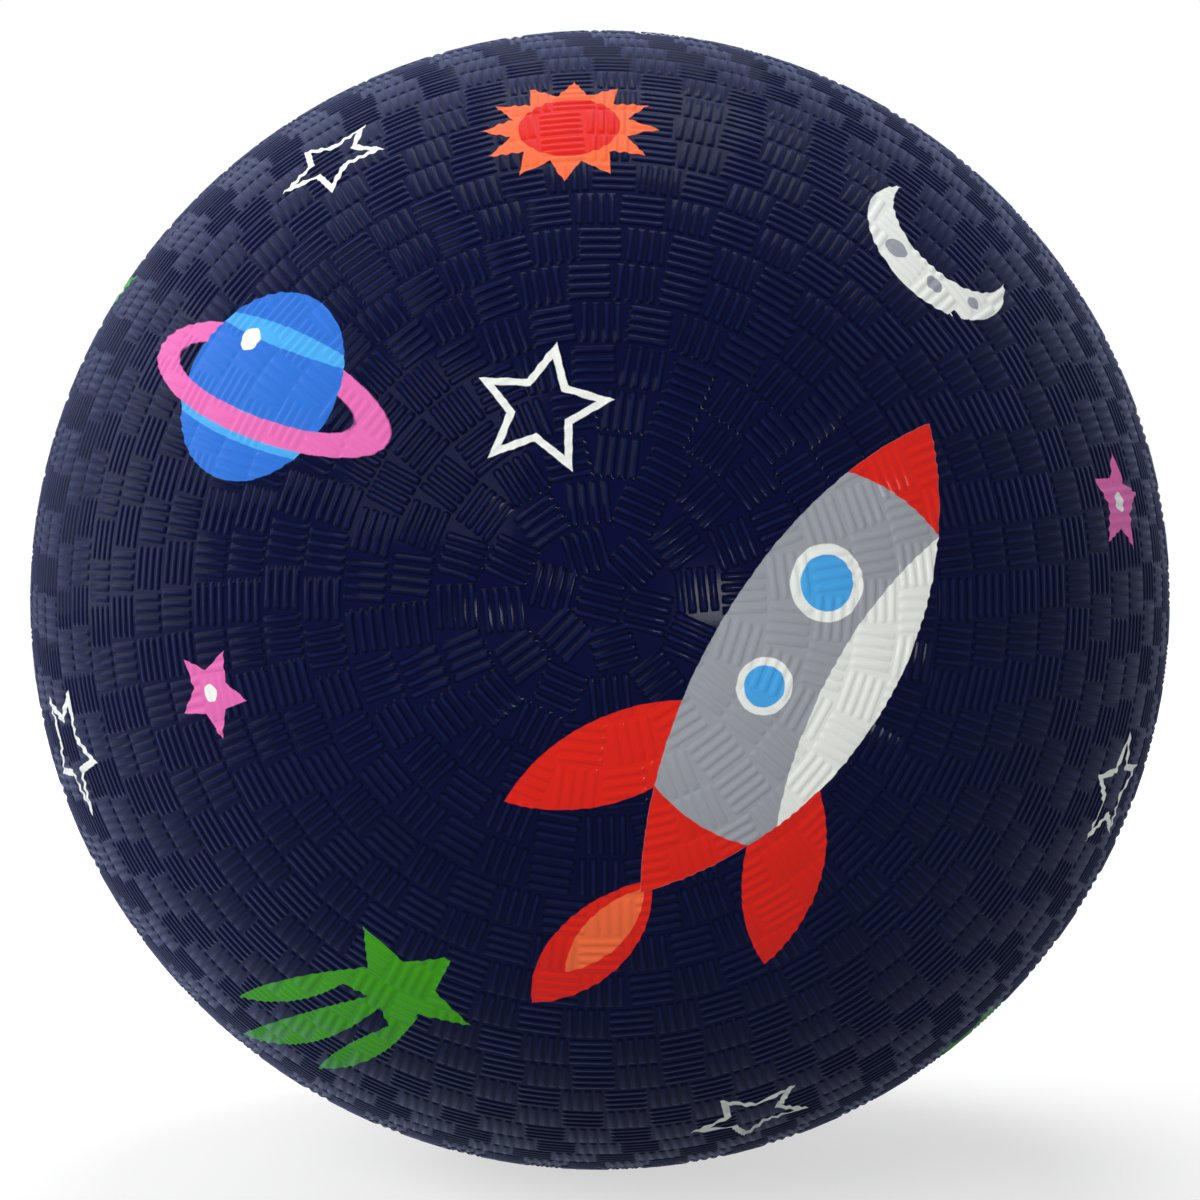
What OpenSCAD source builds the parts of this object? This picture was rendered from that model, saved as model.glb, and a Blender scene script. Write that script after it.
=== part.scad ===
// Playground ball: a two-ply inflated rubber ball with a self-sealing needle valve.
// The origin is the ball's centre, +Z is up, and +Y leaves the ball through the valve.

/* [Ball] */
// Outside diameter, over the crests of the moulded ribs
ball_d = 216; // [160:1:330]
// Height of the moulded ribs over the skin between them
rib_h = 0.3; // [0.2:0.05:0.8]
// Thickness of the cover, from the rib crests to its inner face
cover_t = 1.7; // [1.4:0.1:3]
// Thickness of the bladder's wall
bladder_t = 1; // [0.6:0.1:2]
// Thickness of the cement line between bonded pieces
bond = 0.1; // [0.05:0.01:0.2]

/* [Moulded rows] */
// Rows of rib blocks on both sides of the parting line, counting the single block on each pole
row_count = 46; // [20:2:80]
// Width of the smooth gap between neighbouring rows
row_gap = 0.9; // [0.4:0.1:1.6]

/* [Seam] */
// Width of the smooth band along the mould's parting line
band_w = 2.4; // [1.6:0.1:6]
// Radius of the flash bead in the middle of the band
flash_r = 0.25; // [0.2:0.05:0.5]
// Slope of the skived edges where the cover halves lap, from the ball's surface
skive_angle = 35; // [25:1:70]

/* [Valve core] */
// Radius of the needle guide
needle_r = 1.2; // [1:0.05:1.5]
// Length of the needle guide's straight wall
guide_l = 5; // [3:0.5:7]
// Width of the funnel round the needle guide's mouth
funnel_w = 1; // [0.4:0.1:1.4]
// Depth of the funnel
funnel_h = 1; // [0.5:0.1:1.4]
// Wall of the core round the needle guide
core_wall = 1.4; // [1:0.1:2.5]
// Width of the lip by which the core's head stands over its shank
head_lip = 0.9; // [0.5:0.1:2]
// Thickness of the core's head
head_t = 1.6; // [1.2:0.1:2.4]
// Length of the taper at the core's tip
tip_l = 2; // [1:0.5:4]
// Distance by which the core's tip stops short of the barrel's end
tip_inset = 1.5; // [0.5:0.1:3]
// Width of the self-closing slit below the needle guide
slit_w = 0.12; // [0.08:0.01:0.2]
// Clearance between the core and its housing
slide_clear = 0.05; // [0.02:0.01:0.1]

/* [Valve body] */
// Wall of the neck round the core's head
neck_wall = 1.45; // [1:0.05:3]
// Wall of the barrel round the core's shank
barrel_wall = 2.85; // [1.5:0.05:4]
// Length of the barrel below the flange
barrel_l = 13; // [11:0.5:20]
// Height of the cone that stiffens the barrel under the flange
gusset_h = 3; // [1:0.5:5]
// Width of the flange round the barrel
flange_w = 9.5; // [6:0.5:14]
// Thickness of the flange
flange_t = 1.6; // [1:0.1:3]

/* [Valve patch] */
// Width of the reinforcing patch beyond the flange
patch_w = 9; // [5:0.5:16]
// Thickness of the reinforcing patch
patch_t = 0.8; // [0.5:0.1:2]

/* [Valve mouth] */
// Distance from the neck's hole to the middle of the raised rim
rim_gap = 2.1; // [1.5:0.1:4]
// Rows of rib blocks left out round the valve, for a smooth land
land_rows = 2; // [2:1:4]

/* [Hidden] */
// Facets on round pieces
$fn = 180;
// Rows of rib blocks on each side of the parting line
half_rows = row_count / 2;
// Overshoot of cutting shapes
over = 1;

// Radii of the spherical faces, from the outside in
ball_r = ball_d / 2;
skin_r = ball_r - rib_h;
bladder_or = ball_r - cover_t - bond;
patch_or = bladder_or - bladder_t - bond;
flange_or = patch_or - patch_t - bond;
flange_ir = flange_or - flange_t;

// Polar angles of half the parting band and of one row; the first row is centred on the pole
band_angle = asin(band_w / 2 / ball_r);
row_angle = (90 - band_angle) / (half_rows - 0.5);

// Radii round the valve's axis, from the needle out
funnel_r = needle_r + funnel_w;
core_r = needle_r + core_wall;
tip_r = core_r - core_wall / 2;
core_bore_r = core_r + slide_clear;
head_r = core_r + head_lip;
head_bore_r = head_r + slide_clear;
neck_r = head_bore_r + neck_wall;
neck_hole_r = neck_r + bond;
barrel_r = core_bore_r + barrel_wall;
flange_r = barrel_r + flange_w;
patch_r = flange_r + patch_w;
rim_r = neck_hole_r + rim_gap;
land_r = ball_r * sin((land_rows - 0.5) * row_angle);

// Places along the valve's axis, from the mouth in
guide_top = skin_r - funnel_h;
guide_end = guide_top - guide_l;
head_seat = skin_r - head_t;
barrel_end = flange_ir - barrel_l;
core_tip = barrel_end + tip_inset;

// The rim's bead rises from the land to the plane of the ball's pole
rim_z = sqrt(skin_r * skin_r - rim_r * rim_r);
rim_bead_r = ball_r - rim_z;

// The seam runs straight in through the flash bead, then slopes to the cover's inner face
seam_out_r = ball_r + over;
seam_bend_r = skin_r - flash_r;
seam_in_r = ball_r - cover_t - over;
skive_z = (seam_in_r - seam_bend_r) / tan(skive_angle);

// Turns a half profile, drawn with its axis upwards, into a solid about the valve's axis
module turned() {
    rotate([-90, 0, 0])
        rotate_extrude()
            children();
}

// Half profile of a spherical ply
module ply(outer_r, wall) {
    intersection() {
        difference() {
            circle(outer_r);
            circle(outer_r - wall);
        }
        translate([0, -outer_r])
            square([outer_r, 2 * outer_r]);
    }
}

// The part of a ply round the valve, with a rim skived at 45 degrees
module ply_round_valve(outer_r, wall, rim) {
    edge_z = sqrt(outer_r * outer_r - rim * rim);
    intersection() {
        ply(outer_r, wall);
        polygon([[0, edge_z - rim], [rim + outer_r, edge_z + outer_r], [0, edge_z + outer_r]]);
    }
}

// Everything within a radius of the valve's axis, from one height to another
module shaft(r, bottom, top) {
    translate([0, bottom])
        square([r, top - bottom]);
}

// Everything on the front side of the cover's skived seam
module front_of_seam() {
    polygon([
        [0, -ball_d], [seam_out_r, -ball_d], [seam_out_r, 0],
        [seam_bend_r, 0], [seam_in_r, skive_z], [0, skive_z]
    ]);
}

// The smooth gaps between the rows of rib blocks, counted from each pole to the parting band
module row_gaps() {
    for (row = [0 : half_rows - 2], side = [-1, 1])
        rotate(side * (90 - (row + 0.5) * row_angle))
            translate([skin_r, -row_gap / 2])
                square([rib_h + over, row_gap]);
}

// Cover with its rows, the smooth parting band and the flash bead, before it is parted
module whole_cover() {
    difference() {
        ply(ball_r, cover_t);
        row_gaps();
        intersection() {
            ply(ball_r + over, rib_h + over);
            shaft(ball_r + over, -band_w / 2, band_w / 2);
        }
    }
    translate([skin_r, 0])
        circle(flash_r);
}

// Moulded half of the cover on the front side of the seam
module cover_front() {
    color("#11153c")
        turned()
            intersection() {
                whole_cover();
                translate([0, -bond / 2])
                    front_of_seam();
            }
}

// Moulded half of the cover that holds the valve, with its smooth land and raised rim
module cover_back() {
    color("#11153c")
        turned() {
            difference() {
                whole_cover();
                translate([0, bond / 2])
                    front_of_seam();
                intersection() {
                    ply(ball_r + over, rib_h + over);
                    shaft(land_r, 0, ball_d);
                }
                shaft(neck_hole_r, 0, ball_d);
            }
            difference() {
                translate([rim_r, rim_z])
                    circle(rim_bead_r);
                circle(skin_r - rib_h);
            }
        }
}

// Air-tight inner ply with the hole that the valve's neck passes through
module bladder() {
    color("#1c1c1e")
        turned()
            difference() {
                ply(bladder_or, bladder_t);
                shaft(neck_hole_r, 0, ball_d);
            }
}

// Reinforcing washer bonded inside the bladder
module valve_patch() {
    color("#2a2a2c")
        turned()
            difference() {
                ply_round_valve(patch_or, patch_t, patch_r);
                shaft(neck_hole_r, 0, ball_d);
            }
}

// Housing of the valve: neck through the plies, flange under the patch, barrel inside the ball
module valve_body() {
    color("#202022")
        turned()
            difference() {
                union() {
                    intersection() {
                        shaft(neck_r, flange_ir - over, ball_d);
                        circle(skin_r);
                    }
                    ply_round_valve(flange_or, flange_t, flange_r);
                    polygon([
                        [0, barrel_end], [barrel_r, barrel_end], [barrel_r, flange_ir - gusset_h],
                        [barrel_r + gusset_h, flange_ir], [0, flange_ir]
                    ]);
                }
                shaft(core_bore_r, 0, ball_d);
                shaft(head_bore_r, head_seat - slide_clear, ball_d);
            }
}

// Soft plug with a needle guide and, below it, the slit that the air keeps shut
module valve_core() {
    color("#3a3a3d")
        difference() {
            turned()
                difference() {
                    intersection() {
                        union() {
                            shaft(head_r, head_seat, ball_d);
                            shaft(core_r, core_tip + tip_l, ball_d);
                            polygon([
                                [0, core_tip], [tip_r, core_tip],
                                [core_r, core_tip + tip_l], [0, core_tip + tip_l]
                            ]);
                        }
                        circle(skin_r);
                    }
                    shaft(needle_r, guide_end, ball_d);
                    polygon([
                        [0, guide_top], [needle_r, guide_top],
                        [funnel_r, skin_r], [funnel_r, ball_r], [0, ball_r]
                    ]);
                }
            translate([-needle_r, core_tip - over, -slit_w / 2])
                cube([2 * needle_r, guide_end - core_tip + 2 * over, slit_w]);
        }
}

cover_front();
cover_back();
bladder();
valve_patch();
valve_body();
valve_core();
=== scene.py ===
# %% [markdown]
# # A printed playground ball
# A playground ball is an airtight bladder inside a moulded rubber cover, with a
# self-sealing valve for a pump's needle. The two halves of the mould are cut all over
# with short grooves, which leave a basket weave of small ribs on the ball.
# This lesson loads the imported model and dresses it: print, skin, ribs, valve and light.

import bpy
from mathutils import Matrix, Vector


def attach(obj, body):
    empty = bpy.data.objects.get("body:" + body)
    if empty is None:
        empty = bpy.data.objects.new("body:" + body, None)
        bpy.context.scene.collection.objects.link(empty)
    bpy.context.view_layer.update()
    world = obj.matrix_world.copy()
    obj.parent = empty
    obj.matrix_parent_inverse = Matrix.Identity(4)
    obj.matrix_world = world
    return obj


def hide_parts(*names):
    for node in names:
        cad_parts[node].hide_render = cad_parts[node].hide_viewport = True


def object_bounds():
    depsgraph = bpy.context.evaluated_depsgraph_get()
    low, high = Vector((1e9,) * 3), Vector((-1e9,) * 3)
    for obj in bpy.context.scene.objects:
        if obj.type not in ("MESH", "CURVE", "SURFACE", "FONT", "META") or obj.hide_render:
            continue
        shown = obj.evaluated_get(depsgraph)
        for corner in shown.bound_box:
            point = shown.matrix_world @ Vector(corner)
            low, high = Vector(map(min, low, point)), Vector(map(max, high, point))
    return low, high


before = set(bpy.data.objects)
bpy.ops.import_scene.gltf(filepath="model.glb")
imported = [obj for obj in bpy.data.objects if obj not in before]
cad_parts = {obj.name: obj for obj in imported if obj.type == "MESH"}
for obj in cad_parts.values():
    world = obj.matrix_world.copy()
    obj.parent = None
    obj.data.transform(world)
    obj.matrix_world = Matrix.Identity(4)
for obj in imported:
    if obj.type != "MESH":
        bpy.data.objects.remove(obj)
cad_low, cad_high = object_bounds()
print("pieces in the frame:", sorted(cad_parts))

# %% Sizes of the ball
import math

import bmesh
import bpy
import numpy as np
from mathutils import Matrix, Vector

MM = 0.001
ball_r = max(cad_high)
rib_h = 0.3 * MM
skin_r = ball_r - rib_h
cover_t = 1.7 * MM
print(f"ball {2 * ball_r / MM:.1f} mm across the rib crests, skin at {skin_r / MM:.2f} mm")

# %% [markdown]
# ## Camera
# The ball fills the picture, so its outline gives the lens: a sphere's outline is the
# cone of sight lines that touch it. The camera looks straight at the front pole of the
# moulded pattern, from a few radii away.

# %% Camera at the photograph's view
photo_size = 1200
outline_r = 570
view_distance = 4.76
sensor_width = 36
focal_px = outline_r * math.sqrt(view_distance**2 - 1)
camera_data = bpy.data.cameras.new("camera")
camera_data.sensor_width = sensor_width
camera_data.lens = sensor_width * focal_px / photo_size
camera = bpy.data.objects.new("camera", camera_data)
camera.location = (0, -view_distance * ball_r, 0)
camera.rotation_euler = (math.radians(90), 0, 0)
bpy.context.scene.collection.objects.link(camera)
bpy.context.scene.camera = camera
print(f"lens {camera_data.lens:.1f} mm, {view_distance * ball_r:.3f} m from the ball's centre")

# %% [markdown]
# ## Two small helpers
# Colours are picked as sRGB hex values, and shaders work in linear light, so one function
# turns one into the other. A second one adds a node, applies its settings, fills its live
# inputs in order and hands back its first live output, so a chain of nodes reads as sums.


# %% Colour and node helpers
def linear(hex_colour):
    parts = [int(hex_colour[i : i + 2], 16) / 255 for i in (1, 3, 5)]
    return tuple(p / 12.92 if p <= 0.04045 else ((p + 0.055) / 1.055) ** 2.4 for p in parts) + (1,)


def add(tree, kind, *values, **settings):
    node = tree.nodes.new(kind)
    for name, value in settings.items():
        setattr(node, name, value)
    live = [socket for socket in node.inputs if socket.enabled]
    for socket, value in zip(live, values):
        if isinstance(value, bpy.types.NodeSocket):
            tree.links.new(value, socket)
        elif value is not None:
            socket.default_value = value
    return next((socket for socket in node.outputs if socket.enabled), None)


print("linear mid grey:", [round(part, 3) for part in linear("#808080")])

# %% [markdown]
# ## Print: shapes
# The ball is decorated with flat motifs that are printed over the ribs in a few inks. An
# image could hold them, but drawn as distances in nodes they stay crisp at any size. Each
# shape is a signed distance in millimetres, negative inside, and MAXIMUM cuts one with
# another. Discs, leaves, ovals and stars are enough for a cheerful night sky.


# %% Flat shapes as distances
def disc(tree, place, centre, radius):
    reach = add(tree, "ShaderNodeVectorMath", place, (*centre, 0), operation="DISTANCE")
    return add(tree, "ShaderNodeMath", reach, radius, operation="SUBTRACT")


def leaf(tree, place, centre, half_length, half_width, turn=0):
    bow = (half_length**2 + half_width**2) / (2 * half_width)
    spin = (0, 0, math.radians(turn))
    local = add(tree, "ShaderNodeMapping", place, (*centre, 0), spin, vector_type="TEXTURE")
    folded = add(tree, "ShaderNodeVectorMath", local, operation="ABSOLUTE")
    return disc(tree, folded, (0, half_width - bow), bow)


def oval(tree, place, half_length, half_width):
    scale = (half_length, half_width, 1)
    local = add(tree, "ShaderNodeMapping", place, None, None, scale, vector_type="TEXTURE")
    reach = add(tree, "ShaderNodeVectorMath", local, operation="LENGTH")
    return add(tree, "ShaderNodeMath", reach, half_width, -half_width, operation="MULTIPLY_ADD")


def star(tree, place, tip, waist, points):
    slice_angle = math.pi / points
    edge = Vector((waist * math.cos(slice_angle) - tip, waist * math.sin(slice_angle)))
    facing = math.atan2(-edge.x, edge.y)
    across = add(tree, "ShaderNodeVectorMath", place, (1, 0, 0), operation="DOT_PRODUCT")
    up = add(tree, "ShaderNodeVectorMath", place, (0, 1, 0), operation="DOT_PRODUCT")
    angle = add(tree, "ShaderNodeMath", up, across, operation="ARCTAN2")
    folded = add(tree, "ShaderNodeMath", angle, slice_angle, operation="PINGPONG")
    lean = add(tree, "ShaderNodeMath", folded, facing, operation="SUBTRACT")
    share = add(tree, "ShaderNodeMath", lean, operation="COSINE")
    reach = add(tree, "ShaderNodeVectorMath", place, operation="LENGTH")
    return add(tree, "ShaderNodeMath", reach, share, -tip * math.cos(facing), operation="MULTIPLY_ADD")


print("shapes ready: disc, leaf, oval, star")

# %% [markdown]
# ## Print: inks and motifs
# Inks are opaque and flat, so each layer simply covers what is below it, like a stamp.
# The edge of a stamp is a little soft, as ink is where it stops on rubber.

# %% Inks and the stamp
INKS = {
    "grey": "#989ca3",
    "white": "#e8ebe5",
    "red": "#d8251a",
    "orange": "#ee6b3e",
    "blue": "#2f6ecb",
    "sky": "#49a3e2",
    "pink": "#db69ac",
    "green": "#3f9a18",
}
ink_edge = 0.14


def stamp(tree, colour, distance, ink):
    cover = add(
        tree, "ShaderNodeMath", distance, -1 / ink_edge, 0.5, operation="MULTIPLY_ADD", use_clamp=True
    )
    return add(tree, "ShaderNodeMix", cover, colour, linear(INKS[ink]), data_type="RGBA")


def both(tree, first, second):
    return add(tree, "ShaderNodeMath", first, second, operation="MAXIMUM")


def without(tree, first, second):
    outside = add(tree, "ShaderNodeMath", second, -1.0, operation="MULTIPLY")
    return both(tree, first, outside)


print(len(INKS), "inks")

# %% Motifs drawn flat, in millimetres
pane_share = 0.72
half_line = 0.6


def both_sides(tree, place):
    """Folds the plane along a motif's long axis, so that one shape is drawn on both sides."""
    flipped = add(tree, "ShaderNodeVectorMath", place, (1, -1, 1), operation="MULTIPLY")
    return add(tree, "ShaderNodeVectorMath", place, flipped, operation="MAXIMUM")


def rocket(tree, place, colour):
    mirrored = both_sides(tree, place)
    hull = leaf(tree, place, (2, 0), 46, 15.5)
    colour = stamp(tree, colour, leaf(tree, place, (-58, 0), 17, 6.5), "red")
    colour = stamp(tree, colour, leaf(tree, place, (-54, 0), 11, 3.6), "orange")
    colour = stamp(tree, colour, leaf(tree, mirrored, (-27, 17), 20, 7, 148), "red")
    colour = stamp(tree, colour, hull, "grey")
    colour = stamp(tree, colour, both(tree, hull, disc(tree, place, (6, -62), 58)), "white")
    colour = stamp(tree, colour, without(tree, hull, disc(tree, place, (2, 0), 31)), "red")
    for centre, size in (((14, 4), 6.2), ((-5, 4), 4.6)):
        colour = stamp(tree, colour, disc(tree, place, centre, size), "white")
        colour = stamp(tree, colour, disc(tree, place, centre, pane_share * size), "sky")
    return colour


def ringed_planet(tree, place, colour):
    ring = without(tree, oval(tree, place, 25, 7.6), oval(tree, place, 19, 4.4))
    near_half = add(tree, "ShaderNodeVectorMath", place, (0, 1, 0), operation="DOT_PRODUCT")
    globe = disc(tree, place, (0, 0), 14.5)
    colour = stamp(tree, colour, ring, "pink")
    colour = stamp(tree, colour, globe, "blue")
    for height, half_width in ((7.5, 1.6), (-6.5, 2.2)):
        band = leaf(tree, place, (0, height), 18, half_width)
        colour = stamp(tree, colour, both(tree, globe, band), "sky")
    colour = stamp(tree, colour, disc(tree, place, (-5.5, 5.5), 1.8), "white")
    return stamp(tree, colour, both(tree, ring, near_half), "pink")


def crescent_moon(tree, place, colour):
    crescent = without(tree, disc(tree, place, (0, 0), 13), disc(tree, place, (5.5, 2), 11))
    colour = stamp(tree, colour, crescent, "white")
    for centre, size in (((-9, 2), 1.9), ((-6.5, -5.5), 1.5), ((-0.5, -10), 1.1)):
        colour = stamp(tree, colour, disc(tree, place, centre, size), "grey")
    return colour


def shooting_star(tree, place, colour):
    mirrored = both_sides(tree, place)
    colour = stamp(tree, colour, leaf(tree, place, (-26, 0), 26, 2.9), "green")
    colour = stamp(tree, colour, leaf(tree, mirrored, (-19, 7.4), 17, 2.1, -6), "green")
    return stamp(tree, colour, star(tree, place, 12, 5.6, 5), "green")


def sun(tree, place, colour):
    colour = stamp(tree, colour, star(tree, place, 15, 10, 12), "orange")
    return stamp(tree, colour, disc(tree, place, (0, 0), 8.5), "red")


def line_star(tree, place, colour):
    edge = add(tree, "ShaderNodeMath", star(tree, place, 10, 4.8, 5), operation="ABSOLUTE")
    line = add(tree, "ShaderNodeMath", edge, half_line, operation="SUBTRACT")
    return stamp(tree, colour, line, "white")


def pink_star(tree, place, colour):
    colour = stamp(tree, colour, star(tree, place, 8.5, 4.2, 5), "pink")
    return stamp(tree, colour, disc(tree, place, (0, 0), 1.6), "white")


print("motifs ready")

# %% [markdown]
# ## Cover: vulcanised rubber with print
# The cover is natural rubber, dyed navy through and cured in a hot steel mould. To the eye
# it is satin: deep navy where it faces us, paler and greyer towards the outline, with thin
# glints along the ribs. The glints are a film of gloss, which the shader's coat gives at a
# low weight. Its base layer mirrors nothing, because on a white stage that mirror would turn
# the outline white. The pale outline is bloom, the wax that rubber sweats out, and the sheen
# gives it. The crests of the ribs are coloured paler, a painted highlight in patches like rub
# wear, and their flanks are coloured darker, a painted shade.
# One material for each motif keeps every shader short: it reads the flat place on its
# motif, in millimetres, from a UV map that the pieces get further on.

# %% Cover rubber: colours, sizes and finish
navy = "#03082c"
navy_bloom = "#050c37"
# Painted shade: the rib flanks and the valleys between them are coloured darker than the skin.
painted_flank_shade = "#01041c"
# Painted highlight: the rib crests are coloured paler, in patches like rub wear.
painted_crest_highlight = "#111c50"
bloom_size = 30 * MM
bloom_detail = 3.0
crest_patch_size = 9 * MM
crest_patch_detail = 4.0
fine_detail = 2.0
middle_noise = (0.5, 0.5, 0.5)
flank_shade_heights = (skin_r + 0.03 * rib_h, skin_r + 0.15 * rib_h)
crest_heights = (skin_r + 0.4 * rib_h, ball_r)
none_to_all = (0.0, 1.0)
crest_patch_noise = (0.35, 0.7)
crest_patch_share = (0.6, 1.0)
cloud_noise = (0.3, 0.7)
# The base layer mirrors nothing, so this roughness counts only where the coat is left out.
roughness_range = (0.13, 0.18)
crest_roughness = 0.03
# The mould's grain is finer than a pixel, so it is drawn coarser, at half a millimetre.
grain_size = 0.5 * MM
grain_depth = 0.02 * MM
grain_strength = 0.1
# The print's edges wobble by a fraction of a millimetre, where the pad met the ribs.
wobble_size = 1.8 * MM
wobble = 0.35
rubber_ior = 1.52
COVER_FINISH = {
    "IOR": rubber_ior,
    "Specular IOR Level": 0.0,
    "Coat Weight": 0.055,
    "Coat Roughness": 0.11,
    "Coat IOR": rubber_ior,
    "Sheen Weight": 0.42,
    "Sheen Roughness": 0.36,
    "Sheen Tint": linear("#b6c4f6"),
}
print("cover finish:", ", ".join(COVER_FINISH))


# %% Cover rubber, bare or with one motif
def cover_rubber(name, motif=None):
    material = bpy.data.materials.new(name)
    material.use_nodes = True
    tree = material.node_tree
    spot = add(tree, "ShaderNodeTexCoord").node.outputs["Object"]

    bloom = add(tree, "ShaderNodeTexNoise", spot, 1 / bloom_size, bloom_detail)
    colour = add(tree, "ShaderNodeMix", bloom, linear(navy), linear(navy_bloom), data_type="RGBA")
    height = add(tree, "ShaderNodeVectorMath", spot, operation="LENGTH")
    # Painted shade: from just above the skin the ribs are coloured darker.
    foot = add(tree, "ShaderNodeMapRange", height, *flank_shade_heights, *none_to_all)
    colour = add(tree, "ShaderNodeMix", foot, colour, linear(painted_flank_shade), data_type="RGBA")
    # Painted highlight on the crests, varied in patches like rub wear.
    crest = add(tree, "ShaderNodeMapRange", height, *crest_heights, *none_to_all)
    patches = add(tree, "ShaderNodeTexNoise", spot, 1 / crest_patch_size, crest_patch_detail)
    crest_patches = add(tree, "ShaderNodeMapRange", patches, *crest_patch_noise, *crest_patch_share)
    crest_highlight_and_wear = add(tree, "ShaderNodeMath", crest, crest_patches, operation="MULTIPLY")
    colour = add(tree, "ShaderNodeMix", crest_highlight_and_wear, colour, linear(painted_crest_highlight), data_type="RGBA")

    if motif:
        flat = add(tree, "ShaderNodeUVMap", uv_map="print_place")
        noise = add(tree, "ShaderNodeTexNoise", spot, 1 / wobble_size, fine_detail)
        shake = noise.node.outputs["Color"]
        centred = add(tree, "ShaderNodeVectorMath", shake, middle_noise, operation="SUBTRACT")
        shift = add(tree, "ShaderNodeVectorMath", centred, (wobble, wobble, 0), operation="MULTIPLY")
        place = add(tree, "ShaderNodeVectorMath", flat, shift, operation="ADD")
        colour = motif(tree, place, colour)

    gloss = add(tree, "ShaderNodeMapRange", bloom, *cloud_noise, *roughness_range)
    dulled = add(tree, "ShaderNodeMath", crest_highlight_and_wear, crest_roughness, gloss, operation="MULTIPLY_ADD")
    grain = add(tree, "ShaderNodeTexNoise", spot, 1 / grain_size, fine_detail)
    relief = add(tree, "ShaderNodeBump", grain_strength, grain_depth, None, grain)
    shader = tree.nodes["Principled BSDF"]
    for socket_name, value in COVER_FINISH.items():
        shader.inputs[socket_name].default_value = value
    tree.links.new(colour, shader.inputs["Base Color"])
    tree.links.new(dulled, shader.inputs["Roughness"])
    tree.links.new(relief, shader.inputs["Normal"])
    print(name, len(tree.nodes), "nodes")
    return material


bare_rubber = cover_rubber("vulcanised_rubber")
MOTIFS = (rocket, ringed_planet, crescent_moon, shooting_star, sun, line_star, pink_star)
COVER = [bare_rubber]
for motif in MOTIFS:
    COVER.append(cover_rubber("vulcanised_rubber_printed_" + motif.__name__, motif))

# %% [markdown]
# ## Hidden and valve rubbers
# The bladder and its patch are butyl, the airtight black rubber of inner tubes, with a
# chalky dust that keeps the plies apart in the mould. The valve is a harder black rubber,
# and its core a soft grey one that closes round the needle. All three are dull, so plain
# noise in their colour and roughness is enough.

# %% Plain rubbers
plain_detail = 4.0
plain_grain_depth = 0.03 * MM
plain_grain_strength = 0.3
plain_specular = 0.3


def plain_rubber(name, dark, pale, patch_size, duller, shinier):
    material = bpy.data.materials.new(name)
    material.use_nodes = True
    tree = material.node_tree
    spot = add(tree, "ShaderNodeTexCoord").node.outputs["Object"]
    cloud = add(tree, "ShaderNodeTexNoise", spot, 1 / patch_size, plain_detail)
    colour = add(tree, "ShaderNodeMix", cloud, linear(dark), linear(pale), data_type="RGBA")
    gloss = add(tree, "ShaderNodeMapRange", cloud, *cloud_noise, shinier, duller)
    grain = add(tree, "ShaderNodeTexNoise", spot, 1 / grain_size, fine_detail)
    relief = add(tree, "ShaderNodeBump", plain_grain_strength, plain_grain_depth, None, grain)
    shader = tree.nodes["Principled BSDF"]
    shader.inputs["IOR"].default_value = rubber_ior
    shader.inputs["Specular IOR Level"].default_value = plain_specular
    tree.links.new(colour, shader.inputs["Base Color"])
    tree.links.new(gloss, shader.inputs["Roughness"])
    tree.links.new(relief, shader.inputs["Normal"])
    return material


butyl = plain_rubber("butyl_rubber_dusted", "#1c1c1e", "#39393c", 12 * MM, 0.8, 0.6)
valve_rubber = plain_rubber("hard_black_valve_rubber", "#141416", "#242427", 3 * MM, 0.55, 0.4)
core_rubber = plain_rubber("soft_grey_core_rubber", "#2e2e32", "#4c4c50", 2 * MM, 0.65, 0.5)
for node, material in (
    ("bladder", butyl),
    ("valve_patch", butyl),
    ("valve_body", valve_rubber),
    ("valve_core", core_rubber),
):
    for material_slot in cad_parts[node].material_slots:
        material_slot.material = material
    print(node, "gets", material.name)

# %% [markdown]
# ## Skin of the cover
# Under the ribs the cover is a smooth shell in two moulded halves. Each half is a body of
# revolution about the valve's axis, so one profile turned round the Y axis makes it: the
# outside, half of the flash bead that the mould leaves on the parting line, the wall and
# the inside. The back half also has the valve's hole with its raised rim.

# %% Turn a closed profile about the Y axis
turns = 256
axis_reach = 1e-9
crease_angle = 50


def turned_piece(name, profile):
    """Closed profile of (distance from the Y axis, y); a point on the axis becomes a pole."""
    shape = bmesh.new()
    rings = []
    for reach, along in profile:
        if reach < axis_reach:
            rings.append([shape.verts.new((0, along, 0))] * turns)
            continue
        ring = []
        for step in range(turns):
            angle = 2 * math.pi * step / turns
            ring.append(shape.verts.new((reach * math.cos(angle), along, reach * math.sin(angle))))
        rings.append(ring)
    for ring, after in zip(rings, rings[1:] + rings[:1]):
        for step in range(turns):
            beside = (step + 1) % turns
            corners = dict.fromkeys((ring[step], ring[beside], after[beside], after[step]))
            if len(corners) > 2:
                shape.faces.new(corners)
    bmesh.ops.recalc_face_normals(shape, faces=shape.faces)
    mesh = bpy.data.meshes.new(name)
    shape.to_mesh(mesh)
    shape.free()
    mesh.shade_smooth()
    mesh.set_sharp_from_angle(angle=math.radians(crease_angle))
    piece = bpy.data.objects.new(name, mesh)
    bpy.context.scene.collection.objects.link(piece)
    return piece


def arc(centre, radius, start, end, steps):
    """Points round a centre; angles in degrees from the outward direction, towards +Y."""
    points = []
    for step in range(steps + 1):
        angle = math.radians(start + (end - start) * step / steps)
        points.append((centre[0] + radius * math.cos(angle), centre[1] + radius * math.sin(angle)))
    return points


print("profiles are turned in", turns, "steps")

# %% Front half of the skin
flash_r = 0.25 * MM
half_seam = 0.05 * MM
inner_r = ball_r - cover_t
skin_steps = 70
bead_steps = 6
inside_steps = 40
seam_edge = math.degrees(math.asin(half_seam / flash_r))
bead_foot = math.degrees(math.asin(flash_r / skin_r))

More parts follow.
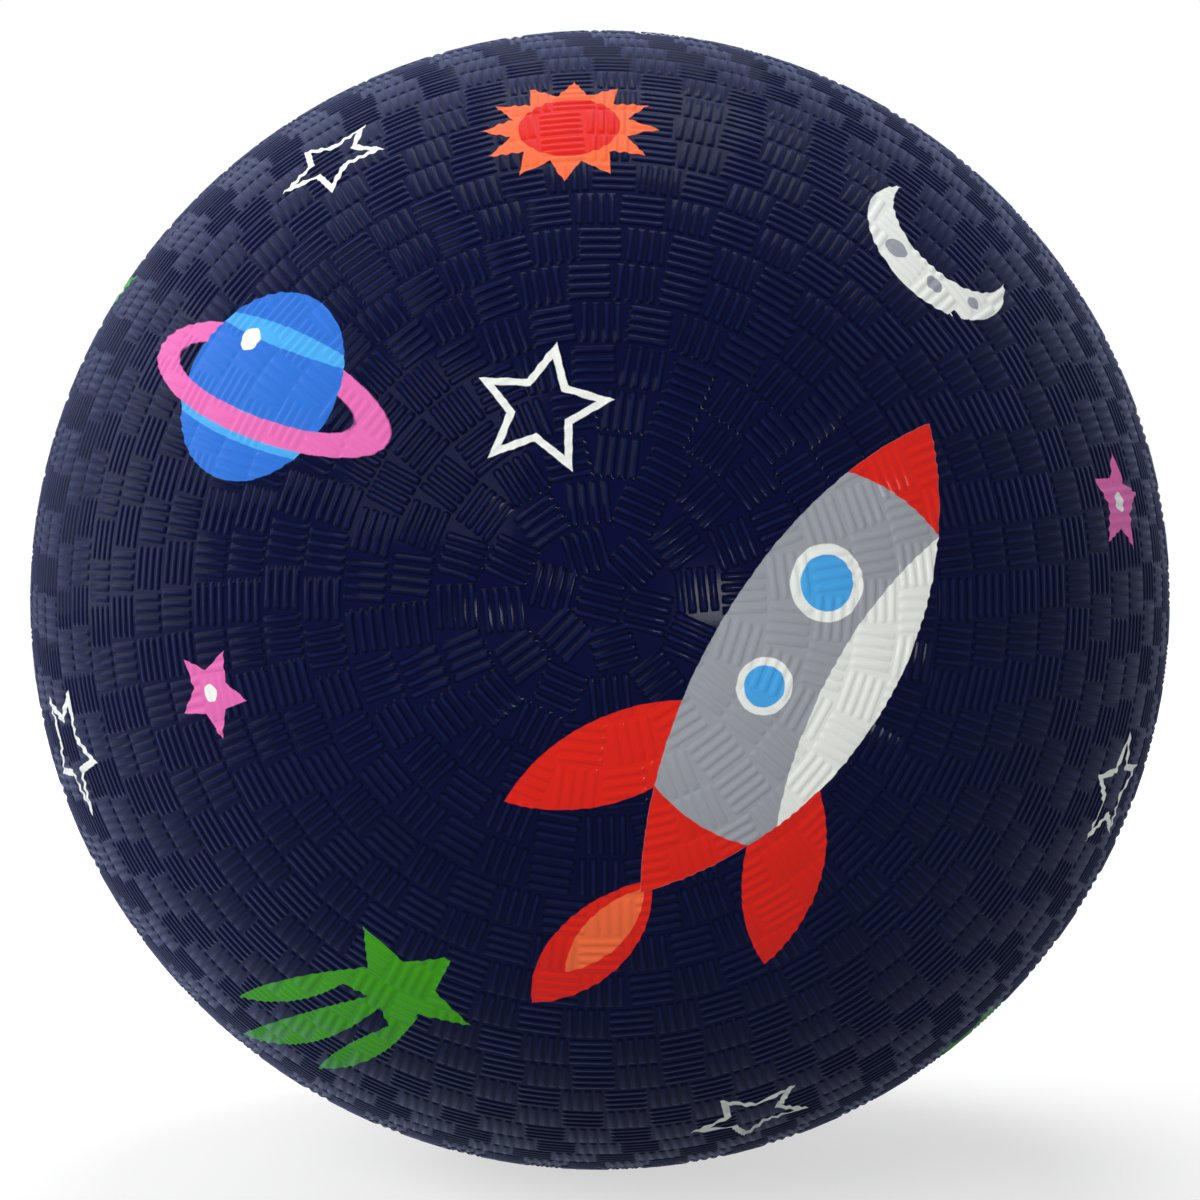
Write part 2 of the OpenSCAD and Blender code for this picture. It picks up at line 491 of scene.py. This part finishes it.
front_profile = [(0, -skin_r)]
front_profile += arc((0, 0), skin_r, -90, -bead_foot, skin_steps)[1:]
front_profile += arc((skin_r, 0), flash_r, -90, -seam_edge, bead_steps)[1:]
front_profile += [(inner_r, -half_seam)]
front_profile += arc((0, 0), inner_r, 0, -90, inside_steps)[1:-1]
front_profile += [(0, -inner_r)]
front_skin = turned_piece("front_skin", front_profile)
print("front skin:", len(front_skin.data.polygons), "faces")

# %% Back half of the skin, with the valve's mouth
hole_r = 5.1 * MM
hole_lip = 0.3 * MM
lip_steps = 4
land_steps = 3
rim_r = hole_r + 2.1 * MM
rim_steps = 12
rim_foot = 1.1
rim_y = math.sqrt(skin_r**2 - rim_r**2)
rim_bead_r = ball_r - rim_y
rim_tilt = math.degrees(math.asin(rim_r / skin_r))


def skin_angle(reach):
    return math.degrees(math.acos(reach / skin_r))


lip_middle = (hole_r + hole_lip, math.sqrt(skin_r**2 - hole_r**2) - hole_lip)
land_start = skin_angle(hole_r + 2 * hole_lip)
land_end = skin_angle(rim_r - rim_bead_r)
skin_start = skin_angle(rim_r + rim_foot * rim_bead_r)
hole_angle = math.degrees(math.acos(hole_r / inner_r))

back_profile = arc(lip_middle, hole_lip, 180, 90, lip_steps)
back_profile += arc((0, 0), skin_r, land_start, land_end, land_steps)
back_profile += arc((rim_r, rim_y), rim_bead_r, 180 - rim_tilt, -rim_tilt, rim_steps)
back_profile += arc((0, 0), skin_r, skin_start, bead_foot, skin_steps)
back_profile += arc((skin_r, 0), flash_r, 90, seam_edge, bead_steps)[1:]
back_profile += [(inner_r, half_seam)]
back_profile += arc((0, 0), inner_r, 0, hole_angle, inside_steps)[1:]
back_skin = turned_piece("back_skin", back_profile)
print("back skin:", len(back_skin.data.polygons), "faces")

# %% [markdown]
# A map from above each pole lays each half out flat: the distance from the middle of the map
# is the angle from the pole. The inside of the shell gets a small corner of its own.

# %% Map of each half, seen from its pole
outside_map = (0.5, 0.499)
inside_map = (0.93, 0.06)
map_angle = math.radians(90.1)


def polar_map(piece, pole):
    layer = piece.data.uv_layers.new(name="OFBake")
    for loop in piece.data.loops:
        corner = piece.data.vertices[loop.vertex_index].co
        angle = corner.angle(Vector((0, pole, 0)))
        round_pole = math.atan2(corner.z, corner.x)
        inside = corner.length < skin_r - cover_t / 4
        middle, reach = inside_map if inside else outside_map
        spread = reach * angle / map_angle
        layer.uv[loop.index].vector = (
            middle + spread * math.cos(round_pole),
            middle + spread * math.sin(round_pole),
        )


for piece, pole in ((front_skin, -1), (back_skin, 1)):
    polar_map(piece, pole)
print("both halves mapped")

# %% [markdown]
# ## Ribs
# The mould's grooves stand in blocks of four, along the row and across it by turns, in
# rows round each pole. One rib is a short rounded bar. Modelling ten thousand bars by hand
# is out of the question, and a bump would lose them at the outline, so Geometry Nodes lays
# the one bar along every row and bends it onto the sphere.

# %% One rib bar, a unit long, wide and high
bar_section = ((-0.5, -0.1), (-0.24, 0.55), (0, 1), (0.24, 0.55), (0.5, -0.1))
bar_stations = (
    (-0.5, 0.8, 0),
    (-0.45, 0.95, 0.6),
    (-0.38, 1, 1),
    (0.38, 1, 1),
    (0.45, 0.95, 0.6),
    (0.5, 0.8, 0),
)
root = bar_section[0][1]

bar = bmesh.new()
stations = []
for along, width, rise in bar_stations:
    station = []
    for across, height in bar_section:
        station.append(bar.verts.new((along, across * width, root + (height - root) * rise)))
    stations.append(station)
for station, after in zip(stations, stations[1:]):
    for side in range(len(bar_section) - 1):
        bar.faces.new((station[side], after[side], after[side + 1], station[side + 1]))
# Each corner is cut from its outermost point, or half of it would lie flat on the base.
for end, inner in ((stations[0], stations[1]), (stations[-1], stations[-2])):
    for corner, beside in ((0, 1), (-1, -2)):
        bmesh.utils.face_split(end[corner].link_faces[0], end[corner], inner[beside])
near_side = [station[0] for station in stations]
far_side = [station[-1] for station in stations]
base = bar.faces.new(stations[0][1:-1] + far_side + stations[-1][-2:0:-1] + near_side[::-1])
bmesh.ops.recalc_face_normals(bar, faces=bar.faces)
# A smooth edge round the base would bend the shading at both ends of the bar.
for edge in base.edges:
    edge.smooth = False
rib_bar = bpy.data.meshes.new("rib_bar")
bar.to_mesh(rib_bar)
bar.free()
print("rib bar:", len(rib_bar.polygons), "faces")

# %% Node tree that lays rows of ribs: its inputs
rib_rows = bpy.data.node_groups.new("rib_rows", "GeometryNodeTree")
ROW_INPUTS = (
    ("Rib", "NodeSocketGeometry"),
    ("Skin radius", "NodeSocketFloat"),
    ("Rib height", "NodeSocketFloat"),
    ("Pole angle", "NodeSocketFloat"),
    ("Row step", "NodeSocketFloat"),
    ("First row", "NodeSocketInt"),
    ("Rows", "NodeSocketInt"),
    ("Ribs in a block", "NodeSocketInt"),
    ("Rib pitch", "NodeSocketFloat"),
    ("Rib width", "NodeSocketFloat"),
    ("Rib length", "NodeSocketFloat"),
    ("Map edge", "NodeSocketFloat"),
    ("Seed", "NodeSocketInt"),
    ("Material", "NodeSocketMaterial"),
)
row_keys = {}
for name, kind in ROW_INPUTS:
    socket = rib_rows.interface.new_socket(name, in_out="INPUT", socket_type=kind)
    row_keys[name] = socket.identifier
rib_rows.interface.new_socket("Ribs", in_out="OUTPUT", socket_type="NodeSocketGeometry")
given = rib_rows.nodes.new("NodeGroupInput").outputs
sums = "ShaderNodeMath"
vectors = "ShaderNodeVectorMath"
print("rows take", ", ".join(row_keys))

# %% One row: how many blocks go round it
repeat_in = rib_rows.nodes.new("GeometryNodeRepeatInput")
repeat_out = rib_rows.nodes.new("GeometryNodeRepeatOutput")
repeat_in.pair_with_output(repeat_out)
rib_rows.links.new(given["Rows"], repeat_in.inputs["Iterations"])

row = add(rib_rows, sums, repeat_in.outputs["Iteration"], given["First row"], operation="ADD")
polar = add(rib_rows, sums, row, given["Row step"], given["Pole angle"], operation="MULTIPLY_ADD")
step = add(rib_rows, sums, given["Row step"], operation="ABSOLUTE")
from_pole = add(rib_rows, sums, row, step, operation="MULTIPLY")
row_reach = add(rib_rows, sums, from_pole, operation="SINE")
half_ring = add(rib_rows, sums, row_reach, math.pi, operation="MULTIPLY")
pairs_fit = add(rib_rows, sums, half_ring, step, operation="DIVIDE")
pairs = add(rib_rows, sums, pairs_fit, operation="ROUND")
blocks = add(rib_rows, sums, pairs, 2.0, operation="MULTIPLY")
blocks = add(rib_rows, sums, blocks, 1.0, operation="MAXIMUM")
block_turn = add(rib_rows, sums, 2 * math.pi, blocks, operation="DIVIDE")
rib_count = add(rib_rows, sums, blocks, given["Ribs in a block"], operation="MULTIPLY")
print("row sums:", len(rib_rows.nodes), "nodes")

# %% One row: the block that a rib belongs to, and its place round the row
number = add(rib_rows, "GeometryNodeInputIndex")
block_share = add(rib_rows, sums, number, given["Ribs in a block"], operation="DIVIDE")
block = add(rib_rows, sums, block_share, operation="FLOOR")
runs_down = add(rib_rows, sums, block, 2.0, operation="MODULO")
rib_number = add(rib_rows, sums, number, given["Ribs in a block"], operation="MODULO")
last_rib = add(rib_rows, sums, given["Ribs in a block"], 1.0, operation="SUBTRACT")
middle = add(rib_rows, sums, last_rib, 0.5, operation="MULTIPLY")
from_middle = add(rib_rows, sums, rib_number, middle, operation="SUBTRACT")
offset = add(rib_rows, sums, from_middle, given["Rib pitch"], operation="MULTIPLY")
phase = add(rib_rows, "FunctionNodeRandomValue", 0.0, 2 * math.pi, row, given["Seed"])
round_pole = add(rib_rows, sums, block, block_turn, phase, operation="MULTIPLY_ADD")
print("rib numbers:", len(rib_rows.nodes), "nodes")

# %% One row: outward, sideways and downward directions, and the ribs on their points
cosine = add(rib_rows, sums, round_pole, operation="COSINE")
sine = add(rib_rows, sums, round_pole, operation="SINE")
ring = add(rib_rows, sums, polar, operation="SINE")
forward = add(rib_rows, sums, polar, operation="COSINE")
depth = add(rib_rows, sums, forward, -1.0, operation="MULTIPLY")
out_x = add(rib_rows, sums, ring, cosine, operation="MULTIPLY")
out_z = add(rib_rows, sums, ring, sine, operation="MULTIPLY")
out = add(rib_rows, "ShaderNodeCombineXYZ", out_x, depth, out_z)
back_sine = add(rib_rows, sums, sine, -1.0, operation="MULTIPLY")
sideways = add(rib_rows, "ShaderNodeCombineXYZ", back_sine, 0.0, cosine)
downward = add(rib_rows, vectors, sideways, out, operation="CROSS_PRODUCT")
along = add(rib_rows, "GeometryNodeSwitch", runs_down, sideways, downward, input_type="VECTOR")
beside = add(rib_rows, "GeometryNodeSwitch", runs_down, downward, sideways, input_type="VECTOR")
block_place = add(rib_rows, vectors, out, given["Skin radius"], operation="SCALE")
rib_offset = add(rib_rows, vectors, beside, offset, operation="SCALE")
rib_place = add(rib_rows, vectors, block_place, rib_offset, operation="ADD")
facing = add(rib_rows, "FunctionNodeAxesToRotation", out, along, primary_axis="Z", secondary_axis="X")
rib_sides = (given["Rib length"], given["Rib width"], given["Rib height"])
rib_size = add(rib_rows, "ShaderNodeCombineXYZ", *rib_sides)
bar_place = add(rib_rows, "GeometryNodeInputPosition")
bar_height = add(rib_rows, "ShaderNodeSeparateXYZ", bar_place).node.outputs["Z"]
keep = "GeometryNodeStoreNamedAttribute"
marked_bar = add(rib_rows, keep, given["Rib"], None, "rib_rise", bar_height, data_type="FLOAT")
points = add(rib_rows, "GeometryNodePoints", rib_count, rib_place)
bars = add(
    rib_rows, "GeometryNodeInstanceOnPoints", points, None, marked_bar, None, None, facing, rib_size
)
joined = add(rib_rows, "GeometryNodeJoinGeometry", bars)
rib_rows.links.new(repeat_in.outputs["Geometry"], joined.node.inputs[0])
rib_rows.links.new(joined, repeat_out.inputs["Geometry"])
print("one row:", len(rib_rows.nodes), "nodes")

# %% All rows: bend the straight bars onto the sphere
realised = add(rib_rows, "GeometryNodeRealizeInstances", repeat_out.outputs["Geometry"])
straight = add(rib_rows, "GeometryNodeInputPosition")
towards = add(rib_rows, vectors, straight, operation="NORMALIZE")
rise = add(rib_rows, "GeometryNodeInputNamedAttribute", "rib_rise", data_type="FLOAT")
radius = add(rib_rows, sums, rise, given["Rib height"], given["Skin radius"], operation="MULTIPLY_ADD")
on_ball = add(rib_rows, vectors, towards, radius, operation="SCALE")
bent = add(rib_rows, "GeometryNodeSetPosition", realised, None, on_ball)
print("bend:", len(rib_rows.nodes), "nodes")

# %% All rows: map seen from the pole, smooth shading, material and output
pole_side = add(rib_rows, sums, given["Pole angle"], operation="COSINE")
pole_side = add(rib_rows, sums, pole_side, -1.0, operation="MULTIPLY")
pole = add(rib_rows, "ShaderNodeCombineXYZ", 0.0, pole_side, 0.0)
nearness = add(rib_rows, vectors, towards, pole, operation="DOT_PRODUCT")
angle = add(rib_rows, sums, nearness, operation="ARCCOSINE")
map_width = add(rib_rows, sums, given["Map edge"], 2.0, operation="MULTIPLY")
spread = add(rib_rows, sums, angle, map_width, operation="DIVIDE")
round_way = add(rib_rows, vectors, towards, (1, 0, 1), operation="MULTIPLY")
round_way = add(rib_rows, vectors, round_way, operation="NORMALIZE")
spread_way = add(rib_rows, vectors, round_way, spread, operation="SCALE")
map_axes = add(rib_rows, "ShaderNodeSeparateXYZ", spread_way).node.outputs
map_u = add(rib_rows, sums, map_axes["X"], 0.5, operation="ADD")
map_v = add(rib_rows, sums, map_axes["Z"], 0.5, operation="ADD")
map_place = add(rib_rows, "ShaderNodeCombineXYZ", map_u, map_v)
mapped = add(rib_rows, keep, bent, None, "OFBake", map_place, data_type="FLOAT2", domain="CORNER")
smooth = add(rib_rows, "GeometryNodeSetShadeSmooth", mapped)
finished = add(rib_rows, "GeometryNodeSetMaterial", smooth, None, given["Material"])
add(rib_rows, "NodeGroupOutput", finished)
print("rib tree:", len(rib_rows.nodes), "nodes")

# %% [markdown]
# Each half has 23 rows between its pole, where one block sits, and the smooth band on the
# parting line. Two pieces for each half keep every mesh light: a cap round the pole and a
# band at the seam. The rows nearest the valve are left out, which is the smooth land round
# its mouth.

# %% Lay the ribs
half_rows = 23
cap_rows = 16
land_rows = 2
ribs_in_block = 4
band_w = 2.4 * MM
row_step = (math.pi / 2 - math.asin(band_w / 2 / ball_r)) / (half_rows - 0.5)
row_pitch = row_step * ball_r
rib_pitch = row_pitch / ribs_in_block * 0.94
rib_width = 1.6 * MM
rib_length = 0.98 * row_pitch
front_seed = 4
back_seed = 9
scene = bpy.context.scene


def rib_piece(name, pole_angle, direction, first_row, row_count, seed):
    layout = bpy.data.objects.new(name + "_layout", rib_bar)
    scene.collection.objects.link(layout)
    modifier = layout.modifiers.new("rows", "NODES")
    modifier.node_group = rib_rows
    sizes = {
        "Skin radius": skin_r,
        "Rib height": rib_h,
        "Pole angle": pole_angle,
        "Row step": direction * row_step,
        "First row": first_row,
        "Rows": row_count,
        "Ribs in a block": ribs_in_block,
        "Rib pitch": rib_pitch,
        "Rib width": rib_width,
        "Rib length": rib_length,
        "Map edge": (first_row + row_count) * row_step,
        "Seed": seed,
        "Material": bare_rubber,
    }
    for size_name, value in sizes.items():
        modifier[row_keys[size_name]] = value
    evaluated = bpy.context.evaluated_depsgraph_get()
    mesh = bpy.data.meshes.new_from_object(
        layout.evaluated_get(evaluated), preserve_all_data_layers=True, depsgraph=evaluated
    )
    bpy.data.objects.remove(layout)
    mesh.attributes.remove(mesh.attributes["rib_rise"])
    mesh.name = name
    piece = bpy.data.objects.new(name, mesh)
    scene.collection.objects.link(piece)
    mesh.calc_loop_triangles()
    ribs_laid = len(mesh.polygons) // len(rib_bar.polygons)
    print(name, ribs_laid, "ribs,", len(mesh.loop_triangles), "triangles")
    return piece


band_rows = half_rows - cap_rows
front_cap_ribs = rib_piece("front_cap_ribs", 0.0, 1, 0, cap_rows, front_seed)
front_band_ribs = rib_piece("front_band_ribs", 0.0, 1, cap_rows, band_rows, front_seed)
back_cap_ribs = rib_piece("back_cap_ribs", math.pi, -1, land_rows, cap_rows - land_rows, back_seed)
back_band_ribs = rib_piece("back_band_ribs", math.pi, -1, cap_rows, band_rows, back_seed)

# %% [markdown]
# ## Print: layout
# Motifs lie all round the ball, each at an azimuth and elevation with a turn of its own,
# clear of the smooth land round the valve at the back. A motif is drawn on a plane that
# touches the ball at the motif's middle, and stereographic projection, which keeps circles
# round, takes the ball's surface to that plane. Every face goes to the motif that it lies
# nearest to, and its corners get their places on that plane as a UV map in millimetres.

# %% Layout of the print
# Motif, azimuth, elevation and turn in degrees, size.
LAYOUT = (
    (rocket, 17, -6, 58, 1.0),
    (ringed_planet, -33, 19, -20, 1.15),
    (shooting_star, -22, -36, 32, 1.1),
    (sun, -4, 47, 0, 1.0),
    (crescent_moon, 39, 33, 15, 1.1),
    (line_star, -5, 16, 8, 1.0),
    (line_star, -63, -14, -10, 1.1),
    (line_star, 62, -18, 20, 1.0),
    (line_star, 26, -56, 0, 1.0),
    (line_star, -36, 44, 12, 0.9),
    (pink_star, 57, 9, 12, 1.1),
    (pink_star, -36, -8, -8, 0.9),
    (shooting_star, 70, -47, 140, 1.0),
    (rocket, 184, 33, 168, 0.95),
    (ringed_planet, 116, -6, 24, 1.1),
    (ringed_planet, -118, -34, -28, 1.0),
    (shooting_star, -100, 24, 205, 1.1),
    (shooting_star, 160, -47, 20, 1.1),
    (crescent_moon, -142, -3, -20, 1.1),
    (sun, 104, 42, 0, 1.0),
    (sun, -162, -36, 0, 0.9),
    (line_star, 146, -10, 0, 1.1),
    (line_star, 84, 14, 14, 1.0),
    (line_star, -84, -48, 0, 1.0),
    (line_star, -100, 62, 0, 1.0),
    (pink_star, 135, 70, 0, 1.1),
    (pink_star, -86, -10, 20, 1.0),
    (pink_star, 115, -44, 0, 1.0),
    (line_star, 30, 78, 0, 1.0),
    (line_star, 120, -80, 0, 1.0),
)
# Start, end and half width of each motif along its own axis, in millimetres.
REACH = {
    rocket: (-62, 46, 26),
    ringed_planet: (-14, 14, 15),
    crescent_moon: (0, 0, 14),
    shooting_star: (-44, 4, 13),
    sun: (0, 0, 16),
    line_star: (0, 0, 11),
    pink_star: (0, 0, 9),
}
bare_beyond = 9
least_stretch = 1e-3


def motif_axes(azimuth, elevation, turn):
    """Columns: a motif's own right and up, and the way out of the ball; angles in degrees."""
    azimuth, elevation, turn = (math.radians(angle) for angle in (azimuth, elevation, turn))
    out = Vector((math.sin(azimuth), -math.cos(azimuth), 0)) * math.cos(elevation)
    out.z = math.sin(elevation)
    right = Vector((math.cos(azimuth), math.sin(azimuth), 0))
    axes = Matrix((right, out.cross(right), out)).transposed()
    return np.array(axes @ Matrix.Rotation(turn, 3, "Z"))


def on_plane(directions, axes, size):
    """Flat places in millimetres of directions from the ball's centre, on a motif's plane."""
    local = directions @ axes
    stretch = 2 * ball_r / MM / size / np.maximum(1 + local[..., 2], least_stretch)
    return local[..., :2] * stretch[..., None]


print(len(LAYOUT), "motifs on the ball")


# %% Give every face to a motif
def lay_print(piece, faces_together):
    mesh = piece.data
    places = np.empty(3 * len(mesh.vertices), np.float32)
    mesh.vertices.foreach_get("co", places)
    ways = places.reshape(-1, 3)
    ways = ways / np.linalg.norm(ways, axis=1, keepdims=True)
    centres = np.empty(3 * len(mesh.polygons), np.float32)
    mesh.polygons.foreach_get("center", centres)
    centres = centres.reshape(-1, faces_together, 3).mean(axis=1)
    centres = centres / np.linalg.norm(centres, axis=1, keepdims=True)

    nearest = np.full(len(centres), bare_beyond, np.float32)
    chosen = np.full(len(centres), -1)
    for index, (motif, azimuth, elevation, turn, size) in enumerate(LAYOUT):
        tail, nose, half_width = REACH[motif]
        flat = on_plane(centres, motif_axes(azimuth, elevation, turn), size)
        flat[:, 0] -= np.clip(flat[:, 0], tail, nose)
        distance = (np.linalg.norm(flat, axis=1) - half_width) * size
        closer = distance < nearest
        nearest[closer] = distance[closer]
        chosen[closer] = index

    chosen = np.repeat(chosen, faces_together)
    corners = np.empty(len(mesh.loops), np.int32)
    mesh.loops.foreach_get("vertex_index", corners)
    counts = np.empty(len(mesh.polygons), np.int32)
    mesh.polygons.foreach_get("loop_total", counts)
    corner_motif = np.repeat(chosen, counts)
    flat = np.zeros((len(corners), 2), np.float32)
    material = np.zeros(len(chosen), np.int32)
    for index, (motif, azimuth, elevation, turn, size) in enumerate(LAYOUT):
        here = corner_motif == index
        flat[here] = on_plane(ways[corners[here]], motif_axes(azimuth, elevation, turn), size)
        material[chosen == index] = 1 + MOTIFS.index(motif)
    mesh.uv_layers.new(name="print_place").uv.foreach_set("vector", flat.ravel())
    mesh.materials.clear()
    for rubber in COVER:
        mesh.materials.append(rubber)
    mesh.polygons.foreach_set("material_index", material)
    mesh.uv_layers.active = mesh.uv_layers["OFBake"]
    print(piece.name, f"{(material > 0).mean():.0%} of faces near a motif")


for piece in (front_skin, back_skin):
    lay_print(piece, 1)
for piece in (front_cap_ribs, front_band_ribs, back_cap_ribs, back_band_ribs):
    lay_print(piece, len(rib_bar.polygons))

# %% [markdown]
# ## On the frame
# Each piece rides on the ball's body, so it follows the ball, and the imported cover half that
# it replaces is hidden. The valve and the plies inside keep their imported shapes.

# %% Ride the ball and replace the plain cover
for piece in (front_skin, front_cap_ribs, front_band_ribs):
    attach(piece, "ball")
    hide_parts("cover_front")
for piece in (back_skin, back_cap_ribs, back_band_ribs):
    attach(piece, "ball")
    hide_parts("cover_back")
print("cover halves replaced")

# %% [markdown]
# ## Floor and light
# The ball stands on a white sweep. The floor shows its own light to the camera, so that
# it stays white, plus a little of the light that falls on it, which keeps the shadow. The
# world does the same: it is white to the eye and dimmer as light. The Light Path node tells
# a look, straight or mirrored, from a ray of light.


# %% A look, or a ray of light
def look(tree):
    """1 for a ray that the camera sends out, straight or mirrored, and 0 for one of light."""
    rays = add(tree, "ShaderNodeLightPath").node.outputs
    bent_rays = (rays["Is Glossy Ray"], rays["Is Transmission Ray"])
    mirrored = add(tree, "ShaderNodeMath", *bent_rays, operation="MAXIMUM")
    return add(tree, "ShaderNodeMath", rays["Is Camera Ray"], mirrored, operation="MAXIMUM")


print("floor and world can tell looks from light")

# %% White floor that keeps the shadow
floor_reach = 3.0
fade_places = (0.5, 1.6)
own_lights = (0.62, 1.0)
paper_grey = "#b0b0b0"
white = linear("#ffffff")
floor_data = bpy.data.meshes.new("floor")
corners = []
for side_x, side_y in ((-1, -1), (1, -1), (1, 1), (-1, 1)):
    corners.append((side_x * floor_reach, side_y * floor_reach, -ball_r))
floor_data.from_pydata(corners, [], [(0, 1, 2, 3)])
floor = bpy.data.objects.new("floor", floor_data)
scene.collection.objects.link(floor)

floor_paper = bpy.data.materials.new("white_studio_paper")
floor_paper.use_nodes = True
tree = floor_paper.node_tree
tree.nodes.clear()
spot = add(tree, "ShaderNodeTexCoord").node.outputs["Object"]
away = add(tree, "ShaderNodeVectorMath", spot, operation="LENGTH")
own_light = add(tree, "ShaderNodeMapRange", away, *fade_places, *own_lights)
own_light = add(tree, "ShaderNodeMath", own_light, look(tree), operation="MULTIPLY")
glow = add(tree, "ShaderNodeEmission", white, own_light)
paper = add(tree, "ShaderNodeBsdfDiffuse", linear(paper_grey))
add(tree, "ShaderNodeOutputMaterial", add(tree, "ShaderNodeAddShader", glow, paper))
floor_data.materials.append(floor_paper)
print("floor at", round(-ball_r, 4), "m")

# %% Studio world, white to the eye and dimmer as light
world_light = 0.26
world_white = 1.0
world = bpy.data.worlds.new("white_studio")
scene.world = world
world.use_nodes = True
tree = world.node_tree
tree.nodes.clear()
strength = add(tree, "ShaderNodeMapRange", look(tree), *none_to_all, world_light, world_white)
add(tree, "ShaderNodeOutputWorld", add(tree, "ShaderNodeBackground", white, strength))
print("world lights at", world_light)

# %% [markdown]
# Five soft boxes light the ball. The large key models it from the upper left. The left and
# top ones stand a little behind the ball, where they lift the bloom on the outline and spare
# the print. The small catch light beside the camera draws the glints on the ribs, and the
# rear one lights the far side.

# %% Soft boxes
# Name, place and side in metres, power in watts.
LAMPS = (
    ("key", (-0.75, -1.2, 0.7), 0.9, 12),
    ("catch", (0.5, -1.42, 0.0), 0.2, 5),
    ("top", (0.05, 0.3, 1.45), 0.8, 12),
    ("left", (-1.4, 0.2, 0.42), 1.0, 13),
    ("rear", (-0.9, 1.0, 1.1), 1.4, 7),
)
for name, place, side, watts in LAMPS:
    lamp_data = bpy.data.lights.new(name, "AREA")
    lamp_data.size = side
    lamp_data.energy = watts
    lamp = bpy.data.objects.new(name, lamp_data)
    lamp.location = place
    lamp.rotation_euler = (-Vector(place)).to_track_quat("-Z", "Y").to_euler()
    scene.collection.objects.link(lamp)
scene.view_settings.view_transform = "Standard"
print(len(LAMPS), "soft boxes")
